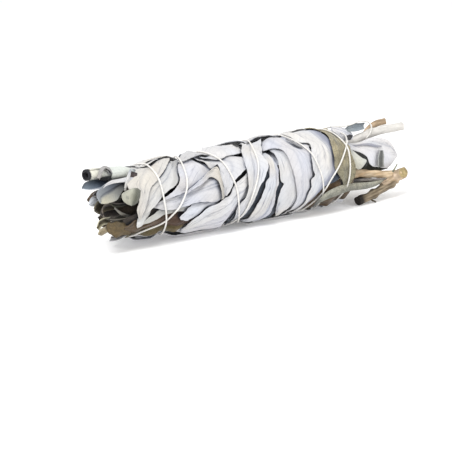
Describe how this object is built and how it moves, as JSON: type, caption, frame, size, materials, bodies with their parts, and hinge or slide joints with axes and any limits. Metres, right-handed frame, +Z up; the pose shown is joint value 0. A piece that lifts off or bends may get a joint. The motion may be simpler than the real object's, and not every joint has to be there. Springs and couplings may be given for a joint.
{
  "type": "sage smudge stick",
  "caption": "Bundle of dried white sage sprigs tied with cotton twine, lying on its side, with leaf tips at one end and cut woody stems at the other",
  "frame": {"origin": "the middle of the underside of the bounding box, on the surface that the stick lies on", "axes": "+X runs along the bundle towards the cut stems, +Y to its back, +Z up as it lies"},
  "size_m": [0.2122, 0.0444, 0.0415],
  "materials": {
    "white_leaf": "felted, matte",
    "heart_leaf": "dry, crumpled, matte",
    "khaki_leaf": "felted, matte",
    "brown_leaf": "dry, matte",
    "grey_green_leaf": "felted, matte",
    "pale_stem": "raw bark, matte",
    "tan_stem": "raw bark, matte",
    "brown_stem": "raw bark, matte",
    "twine": "two-ply cotton, matte"
  },
  "bodies": {
    "root": {"sprig_1_leaves": "white_leaf", "sprig_2_leaves": "white_leaf", "sprig_3_leaves": "white_leaf", "sprig_4_leaves": "white_leaf", "sprig_5_leaves": "white_leaf", "sprig_6_leaves": "white_leaf", "centre_sprig_leaves": "heart_leaf", "khaki_leaf": "khaki_leaf", "brown_leaf_1": "brown_leaf", "brown_leaf_2": "brown_leaf", "brown_leaf_3": "brown_leaf", "grey_green_leaf": "grey_green_leaf", "stem_1": "pale_stem", "stem_2": "tan_stem", "forked_stem": "tan_stem", "stem_4": "brown_stem", "stem_5": "tan_stem", "stem_6": "brown_stem", "centre_stem": "brown_stem", "twine": "twine"}
  },
  "joints": []
}
